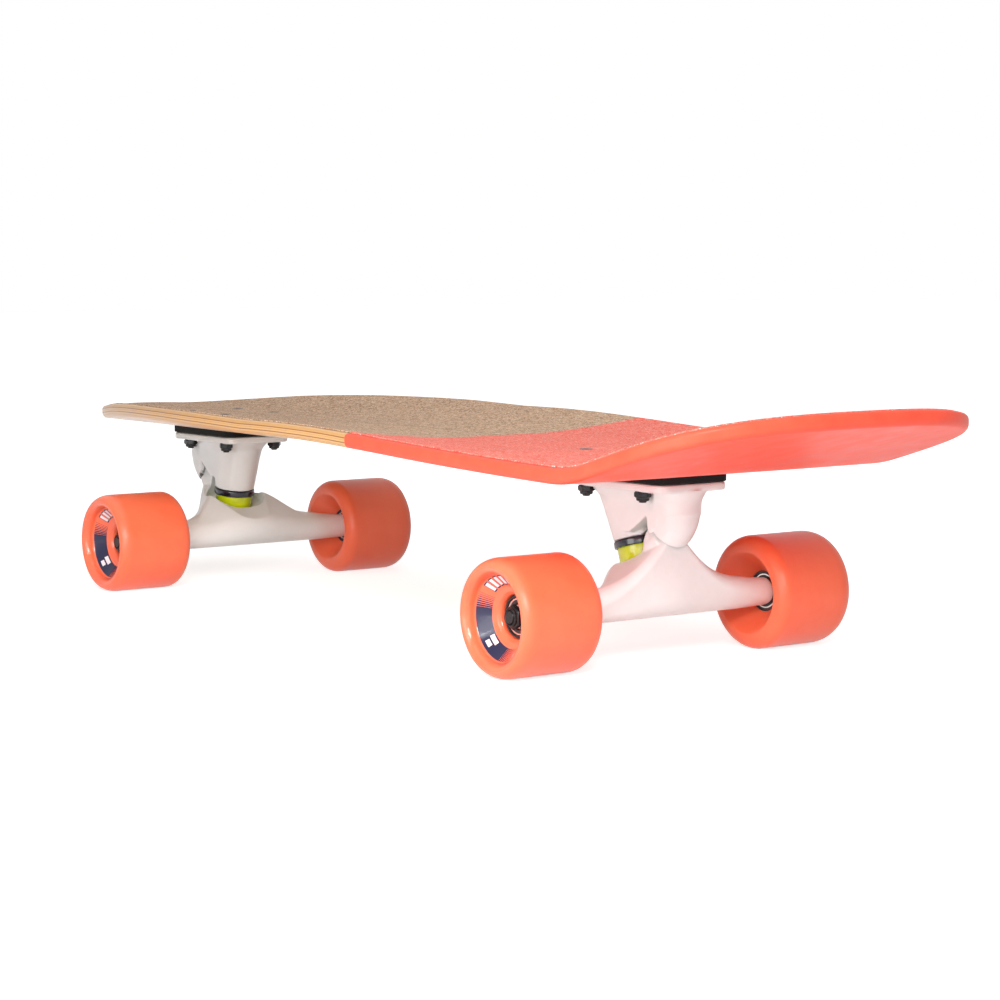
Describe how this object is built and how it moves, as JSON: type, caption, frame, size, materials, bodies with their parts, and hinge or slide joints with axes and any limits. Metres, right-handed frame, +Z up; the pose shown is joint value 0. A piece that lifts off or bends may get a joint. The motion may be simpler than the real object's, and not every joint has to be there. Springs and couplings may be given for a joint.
{
  "type": "surfskate",
  "caption": "Surfskate for carving: a wooden kicktail deck in natural and coral with grip tape, on steering trucks with sprung bushings and wide soft wheels.",
  "frame": {"origin": "on the floor plane that the wheels stand on, below the middle of the deck's length and width", "axes": "+X along the board towards the kicktail, +Y across the board, +Z up away from the floor"},
  "size_m": [0.8424, 0.2514, 0.1576],
  "materials": {
    "lacquered maple": "clear gloss lacquer over natural maple",
    "tan grip": "fine grit over a clear film",
    "coral grip": "fine grit over coral paint",
    "black rubber": "matte",
    "white paint": "white paint over a smooth casting",
    "black steel": "black oxide",
    "steel": "bright",
    "bearing steel": "ground and polished",
    "blue-black washer": "glossy blue-black plating",
    "yellow urethane": "glossy and slightly clear",
    "black urethane": "satin",
    "coral urethane": "satin",
    "black core": "satin"
  },
  "bodies": {
    "board": {"deck": "lacquered maple", "grip_tape_nose": "tan grip", "grip_tape_tail": "coral grip", "riser_pad_rear": "black rubber", "baseplate_rear": "white paint", "kingpin_rear": "black steel", "kingpin_nut_rear": "black steel", "top_washer_rear": "blue-black washer", "top_bushing_rear": "yellow urethane", "bottom_bushing_rear": "yellow urethane", "bottom_washer_rear": "blue-black washer", "pivot_cup_rear": "black urethane", "mounting_bolt_rear_1": "black steel", "mounting_bolt_rear_2": "black steel", "mounting_bolt_rear_3": "black steel", "mounting_bolt_rear_4": "black steel", "riser_pad_front": "black rubber", "baseplate_front": "white paint", "kingpin_front": "black steel", "kingpin_nut_front": "black steel", "top_washer_front": "blue-black washer", "top_bushing_front": "yellow urethane", "bottom_bushing_front": "yellow urethane", "bottom_washer_front": "blue-black washer", "pivot_cup_front": "black urethane", "mounting_bolt_front_1": "black steel", "mounting_bolt_front_2": "black steel", "mounting_bolt_front_3": "black steel", "mounting_bolt_front_4": "black steel"},
    "steering_rear": {"hanger_rear": "white paint", "axle_rear": "steel", "axle_nut_rear_left": "black steel", "bearing_sleeve_rear_left": "steel", "axle_nut_rear_right": "black steel", "bearing_sleeve_rear_right": "steel"},
    "wheel_rear_left": {"wheel_rear_left": "coral urethane", "wheel_core_rear_left": "black core", "bearing_rear_left_outer": "bearing steel", "bearing_rear_left_inner": "bearing steel"},
    "wheel_rear_right": {"wheel_rear_right": "coral urethane", "wheel_core_rear_right": "black core", "bearing_rear_right_outer": "bearing steel", "bearing_rear_right_inner": "bearing steel"},
    "steering_front": {"hanger_front": "white paint", "axle_front": "steel", "axle_nut_front_left": "black steel", "bearing_sleeve_front_left": "steel", "axle_nut_front_right": "black steel", "bearing_sleeve_front_right": "steel"},
    "wheel_front_left": {"wheel_front_left": "coral urethane", "wheel_core_front_left": "black core", "bearing_front_left_outer": "bearing steel", "bearing_front_left_inner": "bearing steel"},
    "wheel_front_right": {"wheel_front_right": "coral urethane", "wheel_core_front_right": "black core", "bearing_front_right_outer": "bearing steel", "bearing_front_right_inner": "bearing steel"}
  },
  "joints": [
    {"name": "steer_rear", "type": "hinge", "parent": "board", "child": "steering_rear", "pos_m": [0.26, 0, 0.085], "axis": [0.7236, 0, 0.6902], "range_deg": [-12, 12], "stiffness_Nm_per_rad": 40, "deforming": ["top_bushing_rear", "bottom_bushing_rear"]},
    {"name": "roll_rear_left", "type": "hinge", "parent": "steering_rear", "child": "wheel_rear_left", "pos_m": [0.2445, -0.0965, 0.035], "axis": [0, 1, 0], "continuous": true},
    {"name": "roll_rear_right", "type": "hinge", "parent": "steering_rear", "child": "wheel_rear_right", "pos_m": [0.2445, 0.0965, 0.035], "axis": [0, 1, 0], "continuous": true},
    {"name": "steer_front", "type": "hinge", "parent": "board", "child": "steering_front", "pos_m": [-0.299, 0, 0.085], "axis": [-0.6982, 0, 0.7159], "range_deg": [-12, 12], "stiffness_Nm_per_rad": 40, "deforming": ["top_bushing_front", "bottom_bushing_front"]},
    {"name": "roll_front_left", "type": "hinge", "parent": "steering_front", "child": "wheel_front_left", "pos_m": [-0.2395, -0.0965, 0.035], "axis": [0, 1, 0], "continuous": true},
    {"name": "roll_front_right", "type": "hinge", "parent": "steering_front", "child": "wheel_front_right", "pos_m": [-0.2395, 0.0965, 0.035], "axis": [0, 1, 0], "continuous": true}
  ]
}
